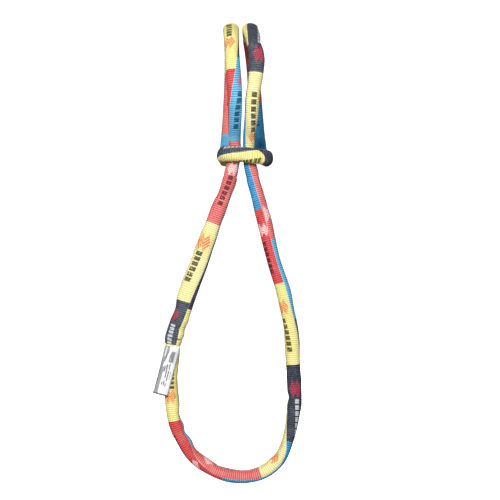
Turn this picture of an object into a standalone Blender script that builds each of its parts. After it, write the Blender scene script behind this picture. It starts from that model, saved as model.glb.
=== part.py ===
"""Round sling, choked on a horizontal bar and hanging open.

The sling is one endless hank of polyester yarn inside a woven tubular cover. The cover's two ends
overlap on the left leg, where a label in a clear film sleeve hangs out of the joint. It is laid here
as a choker hitch: both strands of one end go round the bar, and that end's bight (the collar) crosses
in front of the two legs, which hang down to the other bight.

The origin is on the bar's axis, +X runs along the bar, +Z is up and the collar faces -Y. The bar is
not part of the sling.
"""

import math

import bmesh
import bpy
import numpy as np

# ---- Driving dimensions, in metres ----------------------------------------------------------------
BAR_RADIUS = 0.0774  # the bar or pipe that the sling is choked on
COVER_WALL = 0.0010  # woven polyester cover
CLEARANCE = 0.0003  # between any two pieces that touch

STRAND_HALF_WIDTH = 0.0093  # a strand lying on the bar, along the bar
STRAND_HALF_DEPTH = 0.0080  # the same strand, away from the bar
CHOKED_SHARE = 0.81  # of the strand's width, where the collar squeezes it
TOP_SPREAD = 0.14  # a strand is this much wider where its load presses it on the bar's top
COLLAR_HALF_DEPTH = 0.0070  # the collar's bight, front to back
COLLAR_HALF_HEIGHT = 0.0098

LEAVE_ANGLE = -48.0  # degrees below the front of the bar, where the strands leave it
HANG_ANGLE = -57.0  # the legs hang straight below this point of the strands' circle
COLLAR_SLACK = 0.0025  # between the collar and the legs behind it
LEFT_ARM_SLACK = 0.0012  # between the collar's arms and the strands that they pass
RIGHT_ARM_SLACK = 0.0095
COLLAR_DROP = 0.0158  # collar's centre below the hang point
COLLAR_TILT = 0.0035  # its right end hangs this much lower, and its left end higher

NECK_TOP = 0.027  # the legs bend sideways here, just under the collar, measured from the hang point
NECK_BOTTOM = 0.058  # and forwards and backwards here
SWAY_OFFSET = -0.0040  # the sideways bend's axis, towards the side where the loop's weight is
TUCK_TOP = 0.150  # the cover's inner end, inside the left leg
CUFF_BOTTOM = 0.2595  # the cover's outer end, cut straight
TUCK_BLEND = 0.012  # length over which the core and cover change between single and double cover

LABEL_LENGTH = 0.063
LABEL_WIDTH = 0.021
LABEL_BEND_RADIUS = 0.022  # the film sleeve is bent across its width, like the leg behind it
LABEL_LEAN = 14.5  # degrees, its lower end hangs out to the left
FILM_WALL = 0.00045
INSERT_THICKNESS = 0.0006
LABEL_BELOW_CUFF = 0.0004
LABEL_FORWARD = 0.0016  # keeps the sleeve's bent edges clear of the leg behind it

THREAD_RADIUS = 0.0004
STITCH_LENGTH = 0.0030
SEAM_ABOVE_EDGE = 0.0080  # the closing seam, above the cuff's lower edge
SEAM_HALF_ANGLE = 52.0  # degrees round the cuff, each side of its front
SEAM_STITCHES = 9

SIDES = 14  # facets round the cover
MAX_STEP = 0.020  # ring spacing along the sling
MAX_TURN = math.radians(11)  # and the most that the sling bends between two rings

# ---- The free route -----------------------------------------------------------------------------
# Chosen by hand, from the left leg behind the collar, round the lower bight and up the right leg: x,
# drop below the hang point, and the section's width in the loop's plane and depth, as shares of a
# strand's.
LEG_ROUTE = [
    (-0.0085, 0.0170, 0.81, 1.00),
    (-0.0112, 0.0270, 0.88, 1.00),
    (-0.0163, 0.0480, 0.97, 1.07),
    (-0.0245, 0.0710, 1.01, 1.10),
    (-0.0327, 0.0940, 1.08, 1.07),
    (-0.0444, 0.1250, 1.23, 1.00),
    (-0.0574, 0.1600, 1.31, 0.97),
    (-0.0678, 0.1880, 1.29, 1.00),
    (-0.0771, 0.2180, 1.20, 1.05),
    (-0.0873, 0.2500, 1.18, 1.10),
    (-0.0909, 0.2850, 1.03, 1.07),
    (-0.0910, 0.3180, 0.99, 1.10),
    (-0.0890, 0.3450, 0.97, 1.15),
    (-0.0836, 0.3688, 0.94, 1.22),
    (-0.0666, 0.3992, 0.92, 1.26),
    (-0.0404, 0.4202, 0.90, 1.28),
    (-0.0109, 0.4311, 0.87, 1.28),
    (0.0194, 0.4286, 0.90, 1.26),
    (0.0375, 0.4196, 0.90, 1.25),
    (0.0507, 0.4060, 0.86, 1.28),
    (0.0590, 0.3868, 0.80, 1.32),
    (0.0651, 0.3620, 0.88, 1.20),
    (0.0679, 0.3360, 0.97, 1.12),
    (0.0684, 0.3100, 0.99, 1.12),
    (0.0663, 0.2820, 0.99, 1.12),
    (0.0640, 0.2430, 1.01, 1.12),
    (0.0597, 0.2190, 1.01, 1.10),
    (0.0532, 0.1880, 0.99, 1.12),
    (0.0437, 0.1570, 0.99, 1.12),
    (0.0355, 0.1260, 0.99, 1.12),
    (0.0276, 0.0940, 0.99, 1.10),
    (0.0194, 0.0630, 0.97, 1.07),
    (0.0131, 0.0370, 0.92, 1.03),
    (0.0092, 0.0170, 0.81, 1.00),
]

# ---- Where the strands run round the bar: angle, and gap from the hitch's middle to the near side ----
RIGHT_STRAND = [(-48, 0.0021), (-32, 0.0037), (-10, 0.0054), (20, 0.0095), (45, 0.0057), (68, 0.0014),
                (90, 0.0006), (112, 0.0014), (135, 0.0047), (158, 0.0072), (180, 0.0097), (202, 0.0122),
                (225, 0.0147), (248, 0.0169)]
LEFT_STRAND = [(-48, 0.0011), (-32, 0.0), (-10, -0.0011), (20, 0.0016), (45, 0.0029), (68, 0.0037),
               (90, 0.0040), (112, 0.0047), (135, 0.0059), (158, 0.0073), (180, 0.0089), (202, 0.0105),
               (225, 0.0121), (248, 0.0135)]
SQUEEZED_FROM = -10.0  # below this angle the strands narrow towards the collar

# The collar's bight from its right arm to its left: side, reach as a share of that side's arm, and
# distance in front of the bar's axis as a share of the collar's own.
COLLAR_ROUTE = [("right", 0.965, 0.05), ("right", 0.986, 0.38), ("right", 1.0, 0.66), ("right", 0.872, 0.885),
                ("right", 0.532, 0.99), ("right", 0.071, 1.0), ("left", 0.451, 0.985), ("left", 0.84, 0.885),
                ("left", 1.0, 0.66), ("left", 0.992, 0.38), ("left", 0.967, 0.05)]


def strand_radius():
    """Radius of the strands' centreline round the bar."""
    return BAR_RADIUS + STRAND_HALF_DEPTH


def on_bar(angle, x, extra=0.0):
    radius = strand_radius() + extra
    turn = math.radians(angle)
    return np.array([x, -radius * math.cos(turn), radius * math.sin(turn)])


def hang_point():
    return on_bar(HANG_ANGLE, 0.0)


# ---- The route as rows: position, outward direction, half width, half depth -------------------------
def leg_rows():
    top = hang_point()
    return [[x, top[1], top[2] - drop, 0, -1, 0, width * STRAND_HALF_WIDTH, depth * STRAND_HALF_DEPTH]
            for x, drop, width, depth in LEG_ROUTE]


def strand_half_width(angle):
    squeeze = max(0.0, (angle - SQUEEZED_FROM) / (LEAVE_ANGLE - SQUEEZED_FROM))
    spread = TOP_SPREAD * math.exp(-(((angle - 90) / 32) ** 2))
    return STRAND_HALF_WIDTH * (1 + spread - (1 - CHOKED_SHARE) * squeeze)


def strand_rows(strand, side):
    rows = []
    for angle, gap in strand:
        outward = on_bar(angle, 0.0) / strand_radius()
        half_width = strand_half_width(angle)
        rows.append([*on_bar(angle, side * (gap + half_width)), *outward, half_width, STRAND_HALF_DEPTH])
    return rows


def arm_reach(strand, slack):
    """How far out a collar arm runs to pass the strand that leaves the bar beside it."""
    return strand[0][1] + 2 * strand_half_width(LEAVE_ANGLE) + slack + COLLAR_HALF_DEPTH


def collar_rows():
    reach = {"right": arm_reach(RIGHT_STRAND, RIGHT_ARM_SLACK),
             "left": -arm_reach(LEFT_STRAND, LEFT_ARM_SLACK)}
    front = hang_point()[1] - STRAND_HALF_DEPTH - COLLAR_SLACK - COLLAR_HALF_DEPTH
    level = hang_point()[2] - COLLAR_DROP
    under_bar = -strand_radius() - (COLLAR_HALF_HEIGHT - STRAND_HALF_DEPTH)
    rows = []
    for side, out, share in COLLAR_ROUTE:
        x = reach[side] * out
        tilted = level - COLLAR_TILT * x / reach["right"]
        z = under_bar + (tilted - under_bar) * share
        rows.append([x, front * share, z, 0, 0, -1, COLLAR_HALF_DEPTH, COLLAR_HALF_HEIGHT])
    return rows


def closed_route():
    return np.array(leg_rows() + strand_rows(RIGHT_STRAND, 1) + collar_rows()
                    + strand_rows(LEFT_STRAND, -1)[::-1], dtype=float)


def smooth_closed(rows, samples=16):
    """A centripetal Catmull-Rom curve through every row of a closed route."""
    count = len(rows)
    fine = []
    for i in range(count):
        p = [rows[(i + k - 1) % count] for k in range(4)]
        t = [0.0]
        for k in range(3):
            t.append(t[-1] + np.linalg.norm(p[k + 1][:3] - p[k][:3]) ** 0.5)
        for u in np.linspace(t[1], t[2], samples, endpoint=False):
            a = [(t[k + 1] - u) / (t[k + 1] - t[k]) * p[k] + (u - t[k]) / (t[k + 1] - t[k]) * p[k + 1]
                 for k in range(3)]
            b = [(t[k + 2] - u) / (t[k + 2] - t[k]) * a[k] + (u - t[k]) / (t[k + 2] - t[k]) * a[k + 1]
                 for k in range(2)]
            fine.append((t[2] - u) / (t[2] - t[1]) * b[0] + (u - t[1]) / (t[2] - t[1]) * b[1])
    return np.array(fine)


class Route:
    """The sling's centreline, read by distance along it from the left leg's top."""

    def __init__(self):
        rows = smooth_closed(closed_route())
        rows = np.vstack([rows, rows[:1]])
        steps = np.linalg.norm(np.diff(rows[:, :3], axis=0), axis=1)
        self.along = np.concatenate([[0.0], np.cumsum(steps)])
        self.rows = rows
        self.length = self.along[-1]

    def row(self, s):
        return np.array([np.interp(s % self.length, self.along, column) for column in self.rows.T])

    def tangent(self, s, reach=0.0015):
        ahead = self.row(s + reach)[:3] - self.row(s - reach)[:3]
        return ahead / np.linalg.norm(ahead)

    def axes(self, s):
        """The section's width and outward directions, square to the route."""
        tangent = self.tangent(s)
        outward = self.row(s)[3:6]
        outward = outward - tangent * outward.dot(tangent)
        outward = outward / np.linalg.norm(outward)
        return np.cross(tangent, outward), outward

    def leg_station(self, drop, side):
        """Distance along the route where a leg is that far below the hang point."""
        lowest = int(np.argmin(self.rows[:, 2]))
        height = hang_point()[2] - drop
        if side == "left":
            return np.interp(-height, -self.rows[:lowest, 2], self.along[:lowest])
        last_leg = lowest + int(np.argmax(self.rows[lowest:, 2] > hang_point()[2]))
        return np.interp(height, self.rows[lowest:last_leg, 2], self.along[lowest:last_leg])

    def stations(self, start, end):
        """Ring places from start to end, closer together where the sling bends."""
        fine = np.linspace(start, end, max(3, int((end - start) / 0.002)))
        tangents = [self.tangent(s) for s in fine]
        cost = [0.0]
        for step, before, after in zip(np.diff(fine), tangents, tangents[1:]):
            bend = math.acos(min(1.0, before.dot(after)))
            cost.append(cost[-1] + max(step / MAX_STEP, bend / MAX_TURN))
        rings = max(2, math.ceil(cost[-1])) + 1
        return np.interp(np.linspace(0, cost[-1], rings), cost, fine)

    def ring(self, s, inset):
        """One elliptical section, drawn in by inset."""
        row = self.row(s)
        side, outward = self.axes(s)
        half_width, half_depth = row[6] - inset, row[7] - inset
        turns = (np.arange(SIDES) + 0.5) * 2 * math.pi / SIDES
        return [row[:3] + side * half_width * math.cos(a) + outward * half_depth * math.sin(a) for a in turns]


# ---- Meshes -----------------------------------------------------------------------------------------
def material(name, colour, roughness, alpha=1.0):
    made = bpy.data.materials.new(name)
    made.use_nodes = True
    shader = made.node_tree.nodes["Principled BSDF"]
    shader.inputs["Base Color"].default_value = (*colour, 1)
    shader.inputs["Roughness"].default_value = roughness
    shader.inputs["Metallic"].default_value = 0.0
    shader.inputs["Alpha"].default_value = alpha
    return made


def add_object(name, bm, finish, pivot=(0, 0, 0)):
    """Put a closed mesh in the scene with its origin at the pivot."""
    bmesh.ops.recalc_face_normals(bm, faces=bm.faces)
    bmesh.ops.translate(bm, verts=bm.verts, vec=[-c for c in pivot])
    mesh = bpy.data.meshes.new(name)
    bm.to_mesh(mesh)
    bm.free()
    mesh.shade_smooth()
    mesh.materials.append(finish)
    made = bpy.data.objects.new(name, mesh)
    made.location = pivot
    bpy.context.collection.objects.link(made)
    return made


def bridge_rings(bm, first, second):
    count = len(first)
    for i in range(count):
        j = (i + 1) % count
        bm.faces.new((first[i], first[j], second[j], second[i]))


def rod(rings):
    """A solid through the rings, capped at both ends."""
    bm = bmesh.new()
    loops = [[bm.verts.new(p) for p in ring] for ring in rings]
    for before, after in zip(loops, loops[1:]):
        bridge_rings(bm, before, after)
    bm.faces.new(loops[0][::-1])
    bm.faces.new(loops[-1])
    return bm


def sleeve(outer_rings, inner_rings):
    """A wall between two sets of rings, open at both ends."""
    bm = bmesh.new()
    outer = [[bm.verts.new(p) for p in ring] for ring in outer_rings]
    inner = [[bm.verts.new(p) for p in ring] for ring in inner_rings]
    for loops in (outer, inner):
        for before, after in zip(loops, loops[1:]):
            bridge_rings(bm, before, after)
    bridge_rings(bm, outer[0], inner[0])
    bridge_rings(bm, outer[-1], inner[-1])
    return bm


# ---- The sling's stretches --------------------------------------------------------------------------
route = Route()
half_gap = CLEARANCE / 2
left_top = route.leg_station(NECK_TOP, "left")
left_bottom = route.leg_station(NECK_BOTTOM, "left")
right_bottom = route.leg_station(NECK_BOTTOM, "right")
right_top = route.leg_station(NECK_TOP, "right")
tuck_top = route.leg_station(TUCK_TOP, "left")
cuff_end = route.leg_station(CUFF_BOTTOM, "left")
sway_pivot = (SWAY_OFFSET, hang_point()[1], hang_point()[2] - NECK_TOP)
swing_pivot = (0.0, hang_point()[1], hang_point()[2] - NECK_BOTTOM)

single_core = COVER_WALL + CLEARANCE
double_core = 2 * single_core
core_places = [tuck_top - TUCK_BLEND, tuck_top - CLEARANCE, cuff_end + CLEARANCE, cuff_end + TUCK_BLEND]

# Each stretch's two ends; nested pieces share every ring between them, so their facets stay parallel.
STRETCHES = {
    "neck_left": (left_top + half_gap, left_bottom - half_gap),
    "left_leg": (left_bottom + half_gap, cuff_end),
    "lower_loop": (tuck_top, right_bottom - half_gap),
    "loop": (left_bottom + half_gap, right_bottom - half_gap),
    "neck_right": (right_bottom + half_gap, right_top - half_gap),
    "hitch": (right_top + half_gap, route.length + left_top - half_gap),
}


def shared_stations():
    marks = sorted({place for ends in STRETCHES.values() for place in ends} | set(core_places))
    places = set()
    for start, end in zip(marks, marks[1:]):
        places.update(route.stations(start, end))
    return np.array(sorted(places))


RINGS = shared_stations()


def rings_of(stretch, inset):
    start, end = STRETCHES[stretch]
    tiny = 1e-7
    places = RINGS[(RINGS > start - tiny) & (RINGS < end + tiny)]
    return [route.ring(s, inset(s)) for s in places]


def core_inset(s):
    return np.interp(s, core_places, [single_core, double_core, double_core, single_core])


def full_size(s):
    return 0.0


def lower_cover_inset(s):
    return np.interp(s, core_places[2:], [single_core, 0.0])


def add_cover(name, stretch, finish, pivot, inset=full_size):
    outer = rings_of(stretch, inset)
    inner = rings_of(stretch, lambda s: inset(s) + COVER_WALL)
    return add_object(name, sleeve(outer, inner), finish, pivot)


def add_core(name, stretch, finish, pivot):
    return add_object(name, rod(rings_of(stretch, core_inset)), finish, pivot)


def build_cover():
    weave = material("cover_weave", (0.72, 0.60, 0.16), 0.75)
    add_cover("cover_hitch", "hitch", weave, (0, 0, 0))
    add_cover("cover_neck_left", "neck_left", weave, sway_pivot)
    add_cover("cover_neck_right", "neck_right", weave, sway_pivot)
    add_cover("cover_left_leg", "left_leg", weave, swing_pivot)
    add_cover("cover_lower_loop", "lower_loop", weave, swing_pivot, lower_cover_inset)


def build_core():
    yarn = material("core_yarn", (0.80, 0.79, 0.74), 0.85)
    add_core("core_hitch", "hitch", yarn, (0, 0, 0))
    add_core("core_neck_left", "neck_left", yarn, sway_pivot)
    add_core("core_neck_right", "neck_right", yarn, sway_pivot)
    add_core("core_loop", "loop", yarn, swing_pivot)


# ---- The closing seam, a zigzag of thread across the cuff's front -----------------------------------
def build_closing_seam():
    thread = material("seam_thread", (0.05, 0.05, 0.06), 0.6)
    seam_place = cuff_end - SEAM_ABOVE_EDGE
    lift = THREAD_RADIUS + CLEARANCE
    data = bpy.data.curves.new("closing_seam", "CURVE")
    data.dimensions = "3D"
    data.bevel_depth = THREAD_RADIUS
    data.bevel_resolution = 1
    data.use_fill_caps = True
    spline = data.splines.new("POLY")
    spline.points.add(2 * SEAM_STITCHES)
    turns = np.radians(np.linspace(-SEAM_HALF_ANGLE, SEAM_HALF_ANGLE, 2 * SEAM_STITCHES + 1))
    for index, turn in enumerate(turns):
        s = seam_place + (STITCH_LENGTH / 2 if index % 2 else -STITCH_LENGTH / 2)
        row = route.row(s)
        side, outward = route.axes(s)
        place = row[:3] + side * (row[6] + lift) * math.sin(turn) + outward * (row[7] + lift) * math.cos(turn)
        spline.points[index].co = (*(place - np.array(swing_pivot)), 1)
    data.materials.append(thread)
    made = bpy.data.objects.new("closing_seam", data)
    made.location = swing_pivot
    bpy.context.collection.objects.link(made)


# ---- The label: a printed insert in a clear film sleeve ---------------------------------------------
def label_pocket():
    return INSERT_THICKNESS + 2 * CLEARANCE


def label_top():
    """Middle of the sleeve's upper edge, in front of the tube that leaves the cuff."""
    row = route.row(cuff_end)
    outward = row[7] - COVER_WALL + LABEL_FORWARD
    thickness = label_pocket() + 2 * FILM_WALL
    front = row[1] - outward - thickness / 2
    return np.array([row[0], front - label_sag(), row[2] - LABEL_BELOW_CUFF - label_rise()])


def label_pivot():
    """The hinge passes through the bent sleeve's average depth, so that it hangs straight."""
    return label_top() + np.array([0, label_sag() / 3, 0])


def label_sag():
    """How far the sleeve's edges stand behind its middle."""
    return LABEL_BEND_RADIUS - math.sqrt(LABEL_BEND_RADIUS**2 - (LABEL_WIDTH / 2) ** 2)


def label_rise():
    """Room for the upper corners, which are turned by the lean."""
    return LABEL_WIDTH / 2 * math.sin(math.radians(LABEL_LEAN))


def label_ring(distance, half_width, thickness, points=8):
    """A bent strip's outline, that far down the label."""
    lean = math.radians(LABEL_LEAN)
    down = np.array([-math.sin(lean), 0, -math.cos(lean)])
    across = np.array([math.cos(lean), 0, -math.sin(lean)])
    back = np.array([0, 1, 0])
    reach = math.asin(half_width / LABEL_BEND_RADIUS)
    centre = label_top() + down * distance + back * LABEL_BEND_RADIUS
    ring = []
    for radius, turns in ((LABEL_BEND_RADIUS + thickness / 2, np.linspace(-reach, reach, points)),
                          (LABEL_BEND_RADIUS - thickness / 2, np.linspace(reach, -reach, points))):
        ring += [centre + across * radius * math.sin(t) - back * radius * math.cos(t) for t in turns]
    return ring


def build_label():
    film = material("label_film", (0.86, 0.88, 0.88), 0.12, 0.35)
    paper = material("label_insert", (0.82, 0.83, 0.82), 0.7)
    pivot = tuple(label_pivot())
    stops = np.linspace(0, LABEL_LENGTH, 4)
    outer_thickness = label_pocket() + 2 * FILM_WALL
    outer = [label_ring(d, LABEL_WIDTH / 2, outer_thickness) for d in stops]
    inner = [label_ring(d, LABEL_WIDTH / 2 - FILM_WALL, label_pocket()) for d in stops]
    add_object("label_film", sleeve(outer, inner), film, pivot)
    margin = FILM_WALL + CLEARANCE
    insert_stops = np.linspace(margin, LABEL_LENGTH - margin, 4)
    insert = [label_ring(d, LABEL_WIDTH / 2 - margin, INSERT_THICKNESS) for d in insert_stops]
    add_object("label_insert", rod(insert), paper, pivot)


for old in list(bpy.data.objects):
    bpy.data.objects.remove(old)
build_cover()
build_core()
build_closing_seam()
build_label()
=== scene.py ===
"""Round sling, choked on a horizontal bar and hanging open: the looks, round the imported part."""

import math

import bpy
import numpy as np
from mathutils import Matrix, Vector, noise


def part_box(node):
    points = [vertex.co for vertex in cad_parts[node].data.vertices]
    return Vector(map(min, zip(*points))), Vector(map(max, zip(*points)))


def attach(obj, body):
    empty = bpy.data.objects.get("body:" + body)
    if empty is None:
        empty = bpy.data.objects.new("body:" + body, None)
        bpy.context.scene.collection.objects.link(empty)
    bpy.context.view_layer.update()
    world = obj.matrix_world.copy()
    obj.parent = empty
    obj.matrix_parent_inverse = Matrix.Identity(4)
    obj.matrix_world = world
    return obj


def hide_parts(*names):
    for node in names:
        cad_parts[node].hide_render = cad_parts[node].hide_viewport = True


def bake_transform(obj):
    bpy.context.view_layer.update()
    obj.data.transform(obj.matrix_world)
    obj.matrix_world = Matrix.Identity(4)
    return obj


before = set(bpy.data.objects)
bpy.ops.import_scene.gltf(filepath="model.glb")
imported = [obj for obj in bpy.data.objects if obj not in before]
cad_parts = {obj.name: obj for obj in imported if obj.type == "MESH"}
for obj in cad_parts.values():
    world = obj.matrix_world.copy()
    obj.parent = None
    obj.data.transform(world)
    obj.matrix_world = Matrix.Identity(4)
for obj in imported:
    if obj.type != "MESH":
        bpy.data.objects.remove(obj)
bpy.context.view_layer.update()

# ---- Camera --------------------------------------------------------------------------------------
# A level view square to the bar, from just right of the hitch's middle.
lens = bpy.data.cameras.new("camera")
lens.lens = 67.39
lens.sensor_width = 36
camera = bpy.data.objects.new("camera", lens)
camera.location = (0.0109, -1.26, -0.2093)
camera.rotation_euler = (math.pi / 2, 0, 0)
bpy.context.collection.objects.link(camera)
bpy.context.scene.camera = camera
bpy.context.scene.view_settings.view_transform = "Standard"

# ---- The route that the sling lies along ----------------------------------------------------------
# One endless hank: down the left leg, round the lower bight, up the right leg, over the bar and down
# behind it, through the collar in front of the legs, and back over the bar to the left leg.
BAR_RADIUS = 0.0774
HALF_WIDTH, HALF_DEPTH = 0.0093, 0.0080  # a strand on the bar
CHOKED_SHARE, TOP_SPREAD = 0.81, 0.14  # of its width: where the collar squeezes it, and on the bar's top
COLLAR_HALF_DEPTH, COLLAR_HALF_HEIGHT = 0.0070, 0.0098
SQUEEZED_FROM, LEAVE_ANGLE, HANG_ANGLE = -10.0, -48.0, -57.0  # degrees round the bar
COLLAR_SLACK, LEFT_ARM_SLACK, RIGHT_ARM_SLACK = 0.0025, 0.0012, 0.0095
COLLAR_DROP, COLLAR_TILT = 0.0158, 0.0035
CUFF_DROP = 0.2595  # the cover's outer end on the left leg, below the hang point
NECK_DROP = 0.0424  # the cover is parted here, under the collar, between the two leg joints
TUCK_DROP = 0.150  # the cover's inner end, inside the left leg
COVER_WALL = 0.0010

# x, drop below the hang point, width and depth as shares of a strand's
LEG_ROUTE = [
    (-0.0085, 0.0170, 0.81, 1.00), (-0.0112, 0.0270, 0.88, 1.00), (-0.0163, 0.0480, 0.97, 1.07),
    (-0.0245, 0.0710, 1.01, 1.10), (-0.0327, 0.0940, 1.08, 1.07), (-0.0444, 0.1250, 1.23, 1.00),
    (-0.0574, 0.1600, 1.31, 0.97), (-0.0678, 0.1880, 1.29, 1.00), (-0.0771, 0.2180, 1.20, 1.05),
    (-0.0873, 0.2500, 1.18, 1.10), (-0.0909, 0.2850, 1.03, 1.07), (-0.0910, 0.3180, 0.99, 1.10),
    (-0.0890, 0.3450, 0.97, 1.15), (-0.0836, 0.3688, 0.94, 1.22), (-0.0666, 0.3992, 0.92, 1.26),
    (-0.0404, 0.4202, 0.90, 1.28), (-0.0109, 0.4311, 0.87, 1.28), (0.0194, 0.4286, 0.90, 1.26),
    (0.0375, 0.4196, 0.90, 1.25), (0.0507, 0.4060, 0.86, 1.28), (0.0590, 0.3868, 0.80, 1.32),
    (0.0651, 0.3620, 0.88, 1.20), (0.0679, 0.3360, 0.97, 1.12), (0.0684, 0.3100, 0.99, 1.12),
    (0.0663, 0.2820, 0.99, 1.12), (0.0640, 0.2430, 1.01, 1.12), (0.0597, 0.2190, 1.01, 1.10),
    (0.0532, 0.1880, 0.99, 1.12), (0.0437, 0.1570, 0.99, 1.12), (0.0355, 0.1260, 0.99, 1.12),
    (0.0276, 0.0940, 0.99, 1.10), (0.0194, 0.0630, 0.97, 1.07), (0.0131, 0.0370, 0.92, 1.03),
    (0.0092, 0.0170, 0.81, 1.00),
]
# angle round the bar, and gap from the hitch's middle to the strand's near side
RIGHT_STRAND = [(-48, 0.0021), (-32, 0.0037), (-10, 0.0054), (20, 0.0095), (45, 0.0057), (68, 0.0014),
                (90, 0.0006), (112, 0.0014), (135, 0.0047), (158, 0.0072), (180, 0.0097), (202, 0.0122),
                (225, 0.0147), (248, 0.0169)]
LEFT_STRAND = [(-48, 0.0011), (-32, 0.0), (-10, -0.0011), (20, 0.0016), (45, 0.0029), (68, 0.0037),
               (90, 0.0040), (112, 0.0047), (135, 0.0059), (158, 0.0073), (180, 0.0089), (202, 0.0105),
               (225, 0.0121), (248, 0.0135)]
# side, reach as a share of that arm, and distance in front of the bar as a share of the collar's
COLLAR_ROUTE = [("right", 0.965, 0.05), ("right", 0.986, 0.38), ("right", 1.0, 0.66),
                ("right", 0.872, 0.885), ("right", 0.532, 0.99), ("right", 0.071, 1.0),
                ("left", 0.451, 0.985), ("left", 0.84, 0.885), ("left", 1.0, 0.66), ("left", 0.992, 0.38),
                ("left", 0.967, 0.05)]


def on_bar(angle, x):
    radius = BAR_RADIUS + HALF_DEPTH
    turn = math.radians(angle)
    return np.array([x, -radius * math.cos(turn), radius * math.sin(turn)])


def squeezed_half_width(angle):
    squeeze = max(0.0, (angle - SQUEEZED_FROM) / (LEAVE_ANGLE - SQUEEZED_FROM))
    spread = TOP_SPREAD * math.exp(-(((angle - 90) / 32) ** 2))
    return HALF_WIDTH * (1 + spread - (1 - CHOKED_SHARE) * squeeze)


def strand_rows(strand, side):
    rows = []
    for angle, gap in strand:
        half = squeezed_half_width(angle)
        outward = on_bar(angle, 0) / (BAR_RADIUS + HALF_DEPTH)
        rows.append([*on_bar(angle, side * (gap + half)), *outward, half, HALF_DEPTH])
    return rows


def collar_rows(hang):
    half = squeezed_half_width(LEAVE_ANGLE)
    reach = {"right": RIGHT_STRAND[0][1] + 2 * half + RIGHT_ARM_SLACK + COLLAR_HALF_DEPTH,
             "left": -(LEFT_STRAND[0][1] + 2 * half + LEFT_ARM_SLACK + COLLAR_HALF_DEPTH)}
    front = hang[1] - HALF_DEPTH - COLLAR_SLACK - COLLAR_HALF_DEPTH
    under_bar = -BAR_RADIUS - COLLAR_HALF_HEIGHT
    rows = []
    for side, out, share in COLLAR_ROUTE:
        x = reach[side] * out
        tilted = hang[2] - COLLAR_DROP - COLLAR_TILT * x / reach["right"]
        rows.append([x, front * share, under_bar + (tilted - under_bar) * share, 0, 0, -1,
                     COLLAR_HALF_DEPTH, COLLAR_HALF_HEIGHT])
    return rows


def smooth_closed(rows, samples=16):
    """A centripetal Catmull-Rom curve through every row of a closed route."""
    fine = []
    for i in range(len(rows)):
        p = [rows[(i + k - 1) % len(rows)] for k in range(4)]
        t = [0.0]
        for k in range(3):
            t.append(t[-1] + np.linalg.norm(p[k + 1][:3] - p[k][:3]) ** 0.5)
        for u in np.linspace(t[1], t[2], samples, endpoint=False):
            a = [(t[k + 1] - u) / (t[k + 1] - t[k]) * p[k] + (u - t[k]) / (t[k + 1] - t[k]) * p[k + 1]
                 for k in range(3)]
            b = [(t[k + 2] - u) / (t[k + 2] - t[k]) * a[k] + (u - t[k]) / (t[k + 2] - t[k]) * a[k + 1]
                 for k in range(2)]
            fine.append((t[2] - u) / (t[2] - t[1]) * b[0] + (u - t[1]) / (t[2] - t[1]) * b[1])
    return np.array(fine)


hang = on_bar(HANG_ANGLE, 0)
route_rows = np.array([[x, hang[1], hang[2] - drop, 0, -1, 0, width * HALF_WIDTH, depth * HALF_DEPTH]
                       for x, drop, width, depth in LEG_ROUTE]
                      + strand_rows(RIGHT_STRAND, 1) + collar_rows(hang)
                      + strand_rows(LEFT_STRAND, -1)[::-1], dtype=float)
route_rows = smooth_closed(route_rows)
route_rows = np.vstack([route_rows, route_rows[:1]])
along = np.concatenate([[0], np.cumsum(np.linalg.norm(np.diff(route_rows[:, :3], axis=0), axis=1))])
ROUND = along[-1]  # once round the sling's centreline
lowest = int(np.argmin(route_rows[:, 2]))
leg_end = lowest + int(np.argmax(route_rows[lowest:, 2] > hang[2]))


def rows_at(s):
    s = np.asarray(s, float) % ROUND
    return np.stack([np.interp(s, along, column) for column in route_rows.T], axis=-1)


def left_leg_at(drop):
    return float(np.interp(drop - hang[2], -route_rows[:lowest, 2], along[:lowest]))


def right_leg_at(drop):
    return float(np.interp(hang[2] - drop, route_rows[lowest:leg_end, 2], along[lowest:leg_end]))


def section_axes(s, reach=0.0015):
    """Tangent, width direction and outward direction at each place."""
    tangent = rows_at(s + reach)[:, :3] - rows_at(s - reach)[:, :3]
    tangent /= np.linalg.norm(tangent, axis=1)[:, None]
    outward = rows_at(s)[:, 3:6]
    outward = outward - tangent * np.sum(tangent * outward, axis=1)[:, None]
    outward /= np.linalg.norm(outward, axis=1)[:, None]
    return tangent, np.cross(tangent, outward), outward


# ---- The woven cover, in three lengths ------------------------------------------------------------
# A ribbed tube of woven polyester, dyed in blocks, drawn over the hank. It is one cover in the real
# sling; it is parted here in a groove between two ribs at each leg's neck, where the joints are.
RIB_PITCH, RIB_HEIGHT = 0.0027, 0.00065
RIB_MIDDLE = 0.6  # of a rib's height lies under the cover's own surface
RIB_ROUNDNESS = 0.7  # under 1, it rounds the crowns and sharpens the grooves
RIB_WANDER, WANDER_RATE = 0.10, 60  # in ribs, and in radians to a metre
PLAIN_END_RIBS = 1.5  # the ribs fade out over these at a sleeve's ends
RINGS_PER_RIB, SIDES, INNER_STEP = 4, 48, 0.006
SHOULDER_FULLNESS = 0.035  # how much fuller than an ellipse a soft tube is at its shoulders
PANEL_SEAM_DEPTH = 0.00035
INSIDE_DENT_SHARE = 0.6  # of a dent shows on the cover's inner face
TWIST_EASING = 0.006  # the reach of the average that eases the twist
TUCK_AIR, TUCK_TAPER = 0.0003, 0.012  # room round the tucked end, and the length it opens out over
CREASE_HEIGHT, CREASE_SIZE = 0.0007, 0.011

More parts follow.
